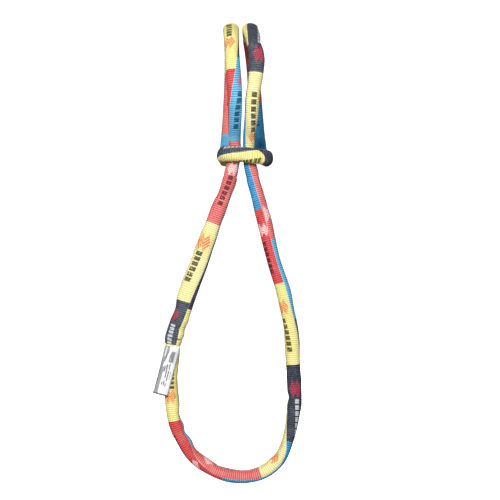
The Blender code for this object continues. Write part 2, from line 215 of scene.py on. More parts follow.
cuff_end = left_leg_at(CUFF_DROP)
whole_ribs = round((cuff_end - left_leg_at(NECK_DROP)) / RIB_PITCH)
left_parting = cuff_end - whole_ribs * RIB_PITCH
right_parting = cuff_end + round((right_leg_at(NECK_DROP) - cuff_end) / RIB_PITCH) * RIB_PITCH
tuck_top = cuff_end - round((cuff_end - left_leg_at(TUCK_DROP)) / RIB_PITCH) * RIB_PITCH

# How the cover lies twisted: distance from the cuff along the sling, and the turn of the first
# panel's middle from the section's outward side.
LOWER_TWIST = [(-0.12, 2), (0.0, 2), (0.0596, 4), (0.0844, 12), (0.1043, 24), (0.1361, 34), (0.1598, 86),
               (0.190, 110), (0.203, 104), (0.225, 105), (0.240, 118), (0.257, 127), (0.277, 122),
               (0.2925, 103), (0.3075, 62), (0.3275, 32), (0.3525, 12), (0.4075, -10), (0.440, -30),
               (0.4575, -46), (0.480, -58), (0.5075, -67), (0.540, -71), (0.5625, -72), (0.6075, -82),
               (0.6475, -90), (0.6875, -115)]
HITCH_TWIST = [(0.6075, -82), (0.6475, -90), (0.6875, -115), (0.7075, -127), (0.7205, -134),
               (0.7475, -152), (0.8075, -160), (0.8315, -150), (0.8675, -125), (0.9125, -98),
               (1.0075, -140), (1.0875, -178), (1.1775, -215), (1.2131, -285), (1.2295, -288),
               (1.2439, -296), (1.2575, -320), (1.2703, -343), (1.297, -377), (1.317, -394),
               (1.349, -390), (1.463, -365), (1.621, -340), (1.673, -343), (1.700, -336), (1.713, -322),
               (1.74, -286), (1.763, -250), (1.788, -217), (1.813, -205), (1.863, -182), (1.923, -164)]
LEG_TWIST = [(1.823, 152), (1.863, 178), (1.923, 196), (1.958, 207), (2.003, 216), (2.053, 236),
             (2.083, 244), (2.1094, 242)]

# Dents and bulges: distance from the cuff, turn round the section, reach along, height
LOWER_DENTS = [(0.3595, -80, 0.0055, -0.0026), (0.3795, -70, 0.012, 0.0006), (0.0775, -90, 0.010, 0.0006),
               (0.0934, -90, 0.008, -0.0018), (0.1073, -90, 0.006, 0.0012), (0.1182, -90, 0.005, -0.0014),
               (0.1321, -88, 0.009, 0.0016), (0.149, -86, 0.008, -0.0008), (0.1707, -88, 0.008, 0.0008),
               (0.1869, -84, 0.006, -0.0014), (0.2086, -80, 0.010, 0.0010), (0.2329, -84, 0.008, -0.0009),
               (0.4325, 88, 0.020, 0.0007), (0.4625, -86, 0.020, -0.0009), (0.5425, 82, 0.020, -0.0010),
               (0.5925, 84, 0.015, 0.0009), (0.3525, 80, 0.010, 0.0010), (0.0447, -80, 0.015, -0.0012),
               (0.6275, -84, 0.012, -0.0008), (0.6475, 84, 0.012, -0.0009), (0.4975, 84, 0.010, 0.0008),
               (0.1598, 84, 0.014, 0.0008), (0.1291, 84, 0.012, -0.0008), (0.2665, -84, 0.010, 0.0008)]
HITCH_DENTS = [(0.8075, 60, 0.018, 0.0016), (0.8375, 80, 0.010, -0.0013), (0.7775, -80, 0.012, -0.0009),
               (1.713, -60, 0.020, -0.0009), (1.843, 80, 0.012, 0.0009), (0.7625, 82, 0.012, -0.0008),
               (1.673, 84, 0.014, 0.0007), (1.2439, 60, 0.012, 0.0008), (1.2725, 20, 0.010, -0.0007),
               (1.313, 60, 0.012, 0.0008)]
LEG_DENTS = [(1.903, 84, 0.012, -0.0014), (1.883, -84, 0.014, 0.0009), (1.923, 84, 0.014, 0.0010),
             (1.943, -84, 0.012, -0.0010), (1.973, -84, 0.020, -0.0007), (1.998, 84, 0.014, -0.0009),
             (2.063, 80, 0.010, -0.0014), (2.088, -36, 0.004, -0.0014), (2.075, -60, 0.004, 0.0010),
             (2.095, -80, 0.004, 0.0012), (2.048, 84, 0.012, 0.0008), (2.101, 84, 0.006, 0.0008)]


def sleeve_mesh(name, start, end, twist, dents, squeeze):
    """A closed sleeve: dense ribbed outside, rounded ends and a plain inside."""
    ribs = round((end - start) / RIB_PITCH)
    outer = np.linspace(start, end, ribs * RINGS_PER_RIB + 1)
    inner = np.linspace(end, start, max(4, round((end - start) / INNER_STEP)))
    s = np.concatenate([outer, [end], inner, [start]])
    inset = np.concatenate([np.zeros(len(outer)), [COVER_WALL * 0.5], np.full(len(inner), COVER_WALL),
                            [COVER_WALL * 0.5]])
    from_cuff = s - cuff_end
    turns = smooth_keys(np.array(twist), from_cuff)[:, None] + np.arange(SIDES) * 2 * math.pi / SIDES
    rows = rows_at(s)
    _, side, outward = section_axes(s)
    shrink = inset + squeeze_at(from_cuff, squeeze)
    half_width = (rows[:, 6] - shrink)[:, None]
    half_depth = (rows[:, 7] - shrink)[:, None]
    full = 1 + SHOULDER_FULLNESS * np.sin(2 * turns) ** 2
    across = half_width * np.sin(turns) * full
    out = half_depth * np.cos(turns) * full
    radial = np.stack([half_depth * np.sin(turns), half_width * np.cos(turns)], axis=-1)
    radial /= np.linalg.norm(radial, axis=-1)[..., None]
    lift = np.zeros_like(turns)
    facing = np.arctan2(across / half_width, out / half_depth)
    for place, turn, reach, height in dents:
        near = np.exp(-((from_cuff - place) / reach) ** 2)[:, None]
        lift += height * near * np.maximum(0, np.cos(facing - math.radians(turn))) ** 3
    steps = np.arange(SIDES)
    lift[:, (steps == SIDES // 4) | (steps == 3 * SIDES // 4)] -= PANEL_SEAM_DEPTH
    lift[inset == COVER_WALL] *= INSIDE_DENT_SHARE
    across += lift * radial[..., 0]
    out += lift * radial[..., 1]
    points = rows[:, None, :3] + side[:, None] * across[..., None] + outward[:, None] * out[..., None]
    count = len(s)
    here = np.arange(count)[:, None] * SIDES + steps
    after = np.roll(here, -1, axis=0)
    quads = np.stack([here, np.roll(here, -1, axis=1), np.roll(after, -1, axis=1), after], axis=-1)
    mesh = bpy.data.meshes.new(name)
    mesh.from_pydata(points.reshape(-1, 3).tolist(), [], quads.reshape(-1, 4).tolist())
    # ribs: rounded crowns and sharp grooves, wandering slightly round the tube
    phase = from_cuff[:, None] / RIB_PITCH + RIB_WANDER * np.sin(2 * turns + WANDER_RATE * from_cuff[:, None])
    fade = np.minimum(s - start, end - s)[:, None] / (PLAIN_END_RIBS * RIB_PITCH)
    crown = np.abs(np.sin(math.pi * phase)) ** RIB_ROUNDNESS * np.clip(fade, 0, 1) * (inset == 0)[:, None]
    mesh.attributes.new("rib", "FLOAT", "POINT").data.foreach_set("value", crown.ravel())
    outside = np.repeat((inset == 0).astype(float), SIDES)
    mesh.attributes.new("outside", "FLOAT", "POINT").data.foreach_set("value", outside)
    weave = mesh.uv_layers.new(name="weave")
    u = np.broadcast_to(from_cuff[:, None], turns.shape)
    v = np.broadcast_to(steps / SIDES, turns.shape)
    u_after = np.roll(u, -1, axis=0)
    ends = np.stack([u, u, u_after, u_after], axis=-1)
    rounds = np.stack([v, v + 1 / SIDES, v + 1 / SIDES, v], axis=-1)
    weave.data.foreach_set("uv", np.stack([ends, rounds], axis=-1).ravel())
    mesh.shade_smooth()
    mesh.update()
    return mesh


def smooth_keys(keys, at):
    """Turns in radians between the given keys, eased by a short moving average."""
    spread = np.linspace(-TWIST_EASING, TWIST_EASING, 7)
    return np.mean([np.interp(at + d, keys[:, 0], np.radians(keys[:, 1])) for d in spread], axis=0)


def squeeze_at(from_cuff, inside):
    """The tucked end lies inside the cuff, so it is a wall and a little air smaller there."""
    return np.interp(from_cuff, [0.0, TUCK_TAPER], [inside, 0.0])


class Reading:
    """A socket's value in a node tree, with the arithmetic of plain numbers."""

    def __init__(self, loom, socket):
        self.loom, self.socket = loom, socket

    def math(self, operation, *others):
        return self.loom.add("ShaderNodeMath", {"operation": operation}, dict(enumerate((self, *others))))

    def __add__(self, other):
        return self.math("ADD", other)

    def __sub__(self, other):
        return self.math("SUBTRACT", other)

    def __mul__(self, other):
        return self.math("MULTIPLY", other)

    def __truediv__(self, other):
        return self.math("DIVIDE", other)

    def __lt__(self, other):
        return self.math("LESS_THAN", other)

    def __gt__(self, other):
        return self.math("GREATER_THAN", other)

    def __abs__(self):
        return self.math("ABSOLUTE")

    def __rsub__(self, other):
        return self.loom.number(other) - self

    def __rtruediv__(self, other):
        return self.loom.number(other) / self

    __radd__, __rmul__ = __add__, __mul__


class Loom:
    """Adds nodes to one tree: a node's type, its settings, then the values or links of its sockets."""

    def __init__(self, tree):
        self.tree = tree

    def add(self, kind, settings=None, sockets=None, out=0):
        node = self.tree.nodes.new(kind)
        for name, value in (settings or {}).items():
            if name == "stops":
                ramp = node.color_ramp
                ramp.interpolation = settings.get("blend", "LINEAR")
                while len(ramp.elements) < len(value):
                    ramp.elements.new(1.0)
                for element, (place, colour) in zip(ramp.elements, value):
                    element.position = place
                    element.color = (*colour, 1)
            elif name != "blend":
                setattr(node, name, value)
        for name, value in (sockets or {}).items():
            self.plug(node.inputs[name], value)
        return Reading(self, node.outputs[out])

    def plug(self, socket, value):
        if isinstance(value, Reading):
            self.tree.links.new(value.socket, socket)
        elif isinstance(value, tuple) and len(value) == 3 and socket.type == "RGBA":
            socket.default_value = (*value, 1)
        else:
            socket.default_value = value

    def number(self, value):
        return self.add("ShaderNodeMath", {"operation": "ADD"}, {0: float(value), 1: 0.0})

    def mix(self, first, second, factor):
        return self.add("ShaderNodeMix", {"data_type": "RGBA"}, {0: factor, 6: first, 7: second}, 2)

    def noise(self, where, scale, detail=2.0, rough=0.5):
        return self.add("ShaderNodeTexNoise", {}, {"Vector": where, "Scale": scale, "Detail": detail,
                                                   "Roughness": rough})

    def place(self):
        """Where a point lies on the object."""
        return self.add("ShaderNodeTexCoord", out=3)

    def split(self, vector):
        """The first two parts of a vector."""
        parts = self.add("ShaderNodeSeparateXYZ", {}, {0: vector})
        return parts, Reading(self, parts.socket.node.outputs[1])

    def smooth(self, value, low, high):
        """0 below low, 1 above high."""
        return self.add("ShaderNodeMapRange", {"interpolation_type": "SMOOTHSTEP"},
                        {"Value": value, "From Min": low, "From Max": high})


def dye(red, green, blue):
    """A shade card's colour as linear light."""
    return tuple((c / 255 / 12.92) if c <= 10 else ((c / 255 + 0.055) / 1.055) ** 2.4
                 for c in (red, green, blue))


def finish(name):
    """A new material, its loom and its Principled shader."""
    made = bpy.data.materials.new(name)
    made.use_nodes = True
    return made, Loom(made.node_tree), made.node_tree.nodes["Principled BSDF"]


def begin_tree(name, *sizes):
    """The loom of a new tree that takes and gives geometry, and a reading of each of its inputs."""
    tree = bpy.data.node_groups.new(name, "GeometryNodeTree")
    kinds = {"Geometry": "NodeSocketGeometry", "Finish": "NodeSocketMaterial"}
    for socket_name in ("Geometry", *sizes, "Finish"):
        tree.interface.new_socket(socket_name, in_out="INPUT",
                                  socket_type=kinds.get(socket_name, "NodeSocketFloat"))
    tree.interface.new_socket("Geometry", in_out="OUTPUT", socket_type="NodeSocketGeometry")
    loom = Loom(tree)
    return loom, {socket.name: Reading(loom, socket) for socket in tree.nodes.new("NodeGroupInput").outputs}


def end_tree(loom, geometry, entry):
    """Ends a tree in real geometry with its material set."""
    solid = loom.add("GeometryNodeRealizeInstances", {}, {"Geometry": geometry})
    dressed = loom.add("GeometryNodeSetMaterial", {}, {"Geometry": solid, "Material": entry["Finish"]})
    loom.plug(loom.tree.nodes.new("NodeGroupOutput").inputs[0], dressed)


# Raises the ribs from their attribute, and lays soft creases over the cloth.
loom, entry = begin_tree("rib_and_crease", "Rib Height", "Crease Height", "Crease Size", "Seed")
rib_tree = loom.tree
rib = loom.add("GeometryNodeInputNamedAttribute", {"data_type": "FLOAT"}, {"Name": "rib"})
outside = loom.add("GeometryNodeInputNamedAttribute", {"data_type": "FLOAT"}, {"Name": "outside"})
crease = loom.add("ShaderNodeTexNoise", {"noise_dimensions": "4D"},
                  {"Vector": loom.add("GeometryNodeInputPosition"), "W": entry["Seed"],
                   "Scale": 1 / entry["Crease Size"], "Detail": 1.5})
height = ((rib - RIB_MIDDLE) * entry["Rib Height"] + (crease - 0.5) * entry["Crease Height"]) * outside
offset = loom.add("ShaderNodeVectorMath", {"operation": "SCALE"},
                  {0: loom.add("GeometryNodeInputNormal"), "Scale": height})
raised = loom.add("GeometryNodeSetPosition", {}, {"Geometry": entry["Geometry"], "Offset": offset})
end_tree(loom, raised, entry)


def grown(name, mesh, tree, inputs):
    """The mesh after a node tree, as a plain mesh object with nothing live left on it."""
    made = bpy.data.objects.new(name, mesh)
    bpy.context.collection.objects.link(made)
    modifier = made.modifiers.new(tree.name, "NODES")
    modifier.node_group = tree
    for item in tree.interface.items_tree:
        if item.item_type == "SOCKET" and item.in_out == "INPUT" and item.name in inputs:
            modifier[item.identifier] = inputs[item.name]
    graph = bpy.context.evaluated_depsgraph_get()
    result = bpy.data.meshes.new_from_object(made.evaluated_get(graph), depsgraph=graph)
    made.modifiers.remove(modifier)
    made.data = result
    return made


# The dye blocks, by distance from the cuff. Each panel is half the way round; one runs black, yellow,
# red, blue and the other the reverse.
SUN, CORAL, SKY, COAL = 0.05, 0.35, 0.65, 0.95  # places on the shade ramps
FIRST_PANEL = [(0.0, SUN), (0.0935, CORAL), (0.1935, SKY), (0.3015, COAL), (0.4005, SUN), (0.5065, CORAL),
               (0.6095, SKY), (0.738, COAL), (0.8295, SUN), (0.9375, CORAL), (1.0425, SKY),
               (1.1375, COAL), (1.240, SUN), (1.353, CORAL), (1.443, SKY), (1.533, COAL), (1.613, SUN),
               (1.7305, CORAL), (1.843, SKY), (1.953, COAL), (2.055, SUN)]
SECOND_PANEL = [(0.0, SKY), (0.1351, CORAL), (0.2412, SUN), (0.3525, COAL), (0.4575, SKY),
                (0.5625, CORAL), (0.6795, SUN), (0.784, COAL), (0.8945, SKY), (0.9975, CORAL),
                (1.1025, SUN), (1.1977, COAL), (1.343, SKY), (1.433, CORAL), (1.528, SUN), (1.613, COAL),
                (1.716, SKY), (1.828, CORAL), (1.94, SUN), (2.046, COAL)]
# Plain printed devices in place of lettering: panel, distance from the cuff, length, and how far
# round the panel from its middle. A word is a row of bars, and a device a pair of hatched lozenges.
WORDS = [(1, 0.0417, 0.034, -0.03), (1, 0.130, 0.028, 0.07), (2, 0.2053, 0.030, -0.06),
         (2, 0.2955, 0.014, -0.05), (1, 0.3385, 0.046, 0.03), (1, 0.4435, 0.046, -0.01),
         (1, 0.5475, 0.044, 0.06), (2, 0.6275, 0.040, 0.08), (1, 0.6675, 0.040, 0.0),
         (2, 0.7445, 0.050, -0.045), (2, 0.852, 0.044, 0.03), (2, 1.0475, 0.040, 0.0),
         (1, 1.0675, 0.040, 0.0), (1, 1.2618, 0.026, 0.01), (2, 1.281, 0.026, -0.08),
         (1, 1.483, 0.040, 0.0), (2, 1.503, 0.040, 0.0), (1, 1.674, 0.036, 0.0), (2, 1.788, 0.046, 0.05),
         (2, 1.900, 0.042, -0.03), (2, 2.006, 0.044, -0.04), (2, 2.097, 0.026, -0.10)]
DEVICES = [(1, 0.0666, 0.020, 0.0), (1, 0.160, 0.014, -0.08), (2, 0.1707, 0.018, 0.02),
           (2, 0.276, 0.020, 0.0), (1, 0.3725, 0.023, 0.0), (1, 0.4795, 0.020, 0.06),
           (1, 0.5825, 0.018, 0.13), (2, 0.602, 0.022, -0.15), (2, 0.7105, 0.020, -0.03),
           (2, 0.814, 0.025, 0.0), (1, 1.0075, 0.020, 0.0), (2, 1.0975, 0.020, 0.0),
           (1, 1.313, 0.018, 0.0), (1, 1.433, 0.020, 0.0), (2, 1.553, 0.020, 0.0), (1, 1.702, 0.022, 0.0),
           (2, 1.752, 0.021, 0.05), (2, 1.870, 0.019, -0.03), (2, 1.972, 0.024, -0.03),
           (2, 2.072, 0.019, 0.0)]
PRINT_HALF_WIDTH = 0.058  # of the way round the cover
PRINT_REACH = 0.8  # of an item's length each way, past which a point is in no item
NO_PRINT = 9.0
BARS_IN_WORD = 6
YARNS_ROUND = 56
ROUND_END_AT, ROUND_END_PULL = 1.244, 0.009  # the yellow block on the collar's right end


def print_places(mesh, attribute, items):
    """Where each point lies in the nearest printed item of its own panel, -1 to 1 along and across."""
    count = len(mesh.vertices)
    u, v = np.full(count, NO_PRINT), np.full(count, NO_PRINT)
    uv = np.empty(len(mesh.loops) * 2)
    mesh.uv_layers["weave"].data.foreach_get("uv", uv)
    corner = np.empty(len(mesh.loops), int)
    mesh.loops.foreach_get("vertex_index", corner)
    place = np.zeros((count, 2))
    place[corner] = uv.reshape(-1, 2)
    from_cuff, turn = place[:, 0], place[:, 1] % 1
    for panel, middle, length, shift in items:
        centre = shift if panel == 1 else 0.5 + shift
        mine = (np.abs(turn - 0.5) < 0.25) == (panel == 2)
        near = mine & (np.abs(from_cuff - middle) < length * PRINT_REACH)
        u[near] = (from_cuff[near] - middle) / (length / 2)
        v[near] = ((turn[near] - centre + 0.5) % 1 - 0.5) / PRINT_HALF_WIDTH
    both = np.stack([u, v, np.zeros(count)], axis=-1)
    mesh.attributes.new(attribute, "FLOAT_VECTOR", "POINT").data.foreach_set("vector", both.ravel())


def cover_finish():
    made, loom, shader = finish("cover_weave")
    u, v = loom.split(loom.add("ShaderNodeUVMap", {"uv_map": "weave"}))
    place = loom.place()
    second = abs(v - 0.5) < 0.25
    from_second = abs(v - 0.5) * 4  # 0 at the second panel's middle, 1 at its edges, 2 at the first's
    to_edge = abs(1 - from_second)  # 0 at an edge, 1 at a panel's middle
    drift = (loom.noise(place, 90.0, 3.0) - 0.5) * 0.0012
    # one block is pulled to a round end, not square across
    from_first = 2 - from_second
    round_end = 1 - loom.smooth(abs(u - ROUND_END_AT), 0.010, 0.022)
    pulled = from_first * from_first * round_end * ROUND_END_PULL

    def blocks(panel, from_cuff):
        stops = [(start / ROUND, (shade,) * 3) for start, shade in panel]
        return loom.add("ShaderNodeValToRGB", {"blend": "CONSTANT", "stops": stops}, {0: from_cuff / ROUND})

    block = loom.mix(blocks(FIRST_PANEL, u + drift - pulled), blocks(SECOND_PANEL, u + drift), second)

    def shades(*colours):
        stops = [(0.0, colours[0]), (0.2, colours[1]), (0.5, colours[2]), (0.8, colours[3])]
        return loom.add("ShaderNodeValToRGB", {"blend": "CONSTANT", "stops": stops}, {0: block})

    ground = shades(dye(243, 230, 134), dye(216, 44, 54), dye(10, 146, 210), dye(24, 29, 40))
    # paler tones: for faded patches, the paler panel, flecks and the joint line, and the painted highlight on
    # yarn crowns
    pale_tone_and_highlight = shades(dye(253, 250, 216), dye(255, 160, 152), dye(140, 222, 248), dye(124, 133, 150))
    word_ink = shades(dye(24, 26, 24), dye(92, 20, 36), dye(14, 62, 104), dye(206, 211, 216))
    device_ink = shades(dye(226, 96, 54), dye(252, 226, 222), dye(190, 90, 140), dye(196, 54, 78))
    # darker tones: painted shade for the rib grooves and the gaps between yarn floats, also the tone of broad
    # random mottling
    groove_shade_and_mottle = shades(dye(200, 186, 98), dye(140, 20, 32), dye(6, 62, 110), dye(10, 12, 18))
    fleck_share = shades((0.10,) * 3, (0.14,) * 3, (0.14,) * 3, (0.26,) * 3)
    paler_share = shades((0.28,) * 3, (0.44,) * 3, (0.44,) * 3, (0.14,) * 3)

    # yarn crowns: each rib is a row of short yarn floats, staggered from rib to rib
    rib_phase = u / RIB_PITCH
    rib_number = rib_phase.math("FLOOR")
    yarns = v * YARNS_ROUND + rib_number * 0.5
    float_crown = abs((yarns.math("FRACT") - 0.5) * 2)
    float_crown = 1 - float_crown * float_crown
    rib_crown = abs((rib_phase.math("FRACT") - 0.5) * 2)
    groove = loom.smooth(rib_crown, 0.42, 0.95)
    fuzz = loom.noise(place, 1400.0, 2.0, 0.6)
    patch = loom.noise(place, 60.0, 3.0, 0.6)
    # random faded patches, plus a painted highlight that lightens the crowns of the yarn floats
    fade_and_crown_highlight = loom.smooth(patch, 0.45, 0.75) * 0.35 + float_crown * (1 - groove) * 0.30
    # the second panel is woven a little paler, and pale weft shows between the dark floats
    colour = loom.mix(ground, pale_tone_and_highlight, fade_and_crown_highlight * 0.8 + second * paler_share)
    # painted shade: the rib grooves and the gaps between yarn floats are painted darker
    colour = loom.mix(colour, groove_shade_and_mottle, groove * 0.72 + (1 - float_crown) * 0.2)
    flecks = loom.smooth(loom.noise(place, 640.0, 2.0, 0.6), 0.50, 0.60)
    colour = loom.mix(colour, pale_tone_and_highlight, flecks * fleck_share)
    broad = loom.smooth(loom.noise(place, 26.0, 2.0, 0.5), 0.50, 0.72)
    colour = loom.mix(colour, groove_shade_and_mottle, broad * 0.28)

    # printed bars and hatched lozenges, broken up by the ribs they are printed across
    word_u, word_v = loom.split(loom.add("ShaderNodeAttribute", {"attribute_name": "word"}, out=1))
    bar = ((word_u + 1) * (BARS_IN_WORD / 2)).math("FRACT")
    bars = (abs(word_u) < 1) * (abs(word_v) < 1.0 - (block > 0.8) * 0.22) * (bar < 0.76)
    device_u, device_v = loom.split(loom.add("ShaderNodeAttribute", {"attribute_name": "device"}, out=1))
    lozenge = (abs(device_u) + abs(abs(device_v) - 0.95) * 0.75) < 1.05
    hatch = ((device_u * 2.4 + abs(device_v) * 1.1).math("FRACT") < 0.74) * lozenge
    soaked = loom.smooth(loom.noise(place, 420.0, 2.0, 0.7), 0.28, 0.42)
    colour = loom.mix(colour, device_ink, hatch * soaked * (1 - groove * 0.35) * 0.92)
    colour = loom.mix(colour, word_ink, bars * soaked * (1 - groove * 0.3) * 0.95)
    # the panels' woven joint is a pale line
    joint = 1 - loom.smooth(to_edge, 0.015, 0.05)
    colour = loom.mix(colour, pale_tone_and_highlight, joint * 0.55)
    colour = loom.mix(colour, loom.add("ShaderNodeVectorMath", {"operation": "SCALE"},
                                       {0: colour, "Scale": 0.80}), loom.smooth(fuzz, 0.5, 0.8) * 0.5)
    loom.plug(shader.inputs["Base Color"], colour)
    loom.plug(shader.inputs["Roughness"], 0.62 + groove * 0.2 + (fuzz - 0.5) * 0.16)
    crowns = float_crown * (1 - groove) * 0.6 + fuzz * 0.35 + (1 - groove) * 0.3
    bump = loom.add("ShaderNodeBump", {}, {"Strength": 0.5, "Distance": 0.0004, "Height": crowns})
    loom.plug(shader.inputs["Normal"], bump)
    shader.inputs["Sheen Weight"].default_value = 0.04
    shader.inputs["Specular IOR Level"].default_value = 0.28
    return made


cover_weave = cover_finish()
LEG_JOINT = (-0.115, -0.1445)  # the band round the legs' joint runs between these heights
COLLAR_JOINT = (-0.1027, -0.1130)  # and the band round the joint under the collar between these
COVERS = [
    ("cover_of_lower_loop", tuck_top, right_parting, LOWER_TWIST, LOWER_DENTS, COVER_WALL + TUCK_AIR,
     "hanging", ("leg_neck", "hanging_loop"), LEG_JOINT, ("cover_lower_loop", "cover_neck_right"), 3.0),
    ("cover_of_left_leg", left_parting, cuff_end, LEG_TWIST, LEG_DENTS, 0.0,
     "taut", ("leg_neck", "hanging_loop"), LEG_JOINT, ("cover_left_leg", "cover_neck_left"), 7.0),
    ("cover_of_hitch", right_parting, left_parting + ROUND, HITCH_TWIST, HITCH_DENTS, 0.0,
     "taut", ("hitch", "leg_neck"), COLLAR_JOINT, ("cover_hitch",), 11.0),
]
for name, start, end, twist, dents, squeeze, lay, bodies, levels, nodes, seed in COVERS:
    # the left leg is the last of the way round from the cuff, but the first of the route
    back = ROUND if name == "cover_of_left_leg" else 0
    mesh = sleeve_mesh(name, start, end, [(place - back, turn) for place, turn in twist],
                       [(place - back, *rest) for place, *rest in dents], squeeze)
    uv = np.empty(len(mesh.loops) * 2)
    mesh.uv_layers["weave"].data.foreach_get("uv", uv)
    uv[0::2] += back
    mesh.uv_layers["weave"].data.foreach_set("uv", uv)
    print_places(mesh, "word", WORDS)
    print_places(mesh, "device", DEVICES)
    cover = grown(name, mesh, rib_tree, {"Rib Height": RIB_HEIGHT, "Crease Height": CREASE_HEIGHT,
                                         "Crease Size": CREASE_SIZE, "Seed": seed, "Finish": cover_weave})
    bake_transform(cover)
    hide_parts(*nodes)

# ---- The hank of load-bearing yarn ----------------------------------------------------------------
# Continuous polyester filament, wound many times round. It lies loose inside the cover, which hides
# all of it, and carries the whole load.


def yarn_finish():
    made, loom, shader = finish("core_yarn")
    place = loom.place()
    strands = loom.noise(place, 900.0, 3.0, 0.6)
    colour = loom.mix(dye(222, 220, 208), dye(178, 174, 160), loom.smooth(strands, 0.4, 0.65))
    loom.plug(shader.inputs["Base Color"], colour)
    loom.plug(shader.inputs["Roughness"], 0.55 + strands * 0.3)
    bump = loom.add("ShaderNodeBump", {}, {"Strength": 0.6, "Distance": 0.0005, "Height": strands})
    loom.plug(shader.inputs["Normal"], bump)
    return made


core_yarn = yarn_finish()
YARN_SIDES, YARN_STEP, YARN_INSET, END_GAP = 16, 0.004, 0.0034, 0.0002
TUCKED_INSET, TUCKED_RANGE = 0.0012, [-0.11, -0.1, 0.0, 0.01]  # room for two walls, near the cuff
LOBES, LOBE_HEIGHT, LOBE_TWIST = 4, 0.05, 40
for name, start, end, bodies, levels, nodes in (
        ("yarn_of_loop", left_parting, right_parting, ("leg_neck", "hanging_loop"), LEG_JOINT,
         ("core_loop", "core_neck_left", "core_neck_right")),
        ("yarn_of_hitch", right_parting, left_parting + ROUND, ("hitch", "leg_neck"), COLLAR_JOINT,
         ("core_hitch",))):
    places = np.linspace(start + END_GAP, end - END_GAP, round((end - start) / YARN_STEP))
    rows = rows_at(places)
    _, side, outward = section_axes(places)
    inset = YARN_INSET + TUCKED_INSET * np.interp(places - cuff_end, TUCKED_RANGE, [0, 1, 1, 0])
    turns = np.arange(YARN_SIDES) * 2 * math.pi / YARN_SIDES
    # the hank's yarns bunch into soft lobes, which turn slowly along it
    lobes = 1 + LOBE_HEIGHT * np.cos(LOBES * turns[None, :] + places[:, None] * LOBE_TWIST)
    across = (rows[:, 6] - inset)[:, None] * np.sin(turns) * lobes
    out = (rows[:, 7] - inset)[:, None] * np.cos(turns) * lobes
    points = rows[:, None, :3] + side[:, None] * across[..., None] + outward[:, None] * out[..., None]
    here = np.arange(len(places) - 1)[:, None] * YARN_SIDES + np.arange(YARN_SIDES)
    beside = np.roll(here, -1, axis=1)
    quads = np.stack([here, beside, beside + YARN_SIDES, here + YARN_SIDES], axis=-1).reshape(-1, 4).tolist()
    last = (len(places) - 1) * YARN_SIDES
    quads += [list(range(YARN_SIDES))[::-1], list(range(last, last + YARN_SIDES))]
    mesh = bpy.data.meshes.new(name)
    mesh.from_pydata(points.reshape(-1, 3).tolist(), [], quads)
    mesh.shade_smooth()
    mesh.materials.append(core_yarn)
    hank = bpy.data.objects.new(name, mesh)
    bpy.context.collection.objects.link(hank)
    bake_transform(hank)
    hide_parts(*nodes)

# ---- The closing seam -----------------------------------------------------------------------------
# A zigzag of dark polyester thread, sewn across the cuff's front through the tucked end inside it, so
# that the cover's two ends hold together.
STITCH_LENGTH, THREAD_RADIUS, THREAD_PROUD = 0.0030, 0.0004, 0.6
SEAM_ABOVE_EDGE, SEAM_HALF_ANGLE, SEAM_STITCHES = 0.0080, 52, 9

loom, entry = begin_tree("stitches_along_a_line", "Thread Radius")
stitch_tree = loom.tree
line = loom.add("GeometryNodeMeshToCurve", {}, {"Mesh": entry["Geometry"]})
rounded = loom.add("GeometryNodeSubdivideCurve", {}, {"Curve": line, "Cuts": 2})
profile = loom.add("GeometryNodeCurvePrimitiveCircle", {},
                   {"Resolution": 6, "Radius": entry["Thread Radius"]})
thread = loom.add("GeometryNodeCurveToMesh", {}, {"Curve": rounded, "Profile Curve": profile,
                                                  "Fill Caps": True})
end_tree(loom, thread, entry)


def thread_finish():
    made, loom, shader = finish("seam_thread")
    place = loom.place()
    ply = loom.noise(place, 2600.0, 2.0, 0.6)
    loom.plug(shader.inputs["Base Color"], loom.mix(dye(36, 38, 44), dye(96, 100, 108), ply))
    loom.plug(shader.inputs["Roughness"], 0.45 + ply * 0.3)
    return made


seam_place = cuff_end - SEAM_ABOVE_EDGE
turns = np.radians(np.linspace(-SEAM_HALF_ANGLE, SEAM_HALF_ANGLE, 2 * SEAM_STITCHES + 1))
places = seam_place + np.where(np.arange(len(turns)) % 2, STITCH_LENGTH / 2, -STITCH_LENGTH / 2)
rows = rows_at(places)
_, side, outward = section_axes(places)
lift = THREAD_RADIUS * THREAD_PROUD
seam_points = (rows[:, :3] + side * ((rows[:, 6] + lift) * np.sin(turns))[:, None]
               + outward * ((rows[:, 7] + lift) * np.cos(turns))[:, None])
seam_line = bpy.data.meshes.new("closing_seam_thread")
seam_line.from_pydata(seam_points.tolist(), [(i, i + 1) for i in range(len(turns) - 1)], [])
seam = grown("closing_seam_thread", seam_line, stitch_tree,
             {"Thread Radius": THREAD_RADIUS, "Finish": thread_finish()})
seam.data.shade_smooth()
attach(seam, "hanging_loop")
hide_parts("closing_seam")

# ---- The label ------------------------------------------------------------------------------------
# A printed insert welded into a clear film sleeve, bent across its width like the leg behind it. Its
# top is caught in the cuff.
LABEL_LENGTH, LABEL_WIDTH, LABEL_BEND = 0.063, 0.021, 0.022
LABEL_LEAN = math.radians(14.5)
LABEL_SET_BACK = 0.00105  # its middle, behind the foremost edge of its place
FILM_THICKNESS, INSERT_THICKNESS = 0.0016, 0.0003
INSERT_MARGIN, INSERT_TOP, INSERT_FOOT = 0.0011, 0.0009, 0.0012
SLANT, SLANT_REACH = 0.0042, 0.014  # the top runs aslant, less and less down to here
WAVE_HEIGHT, WAVE_SEED, RIPPLE_HEIGHT = 0.0004, 2.0, 0.000075
HEM_FROM = 0.86  # of the half width, past which the film thins to its weld
COLUMNS, ROWS = 22, 56


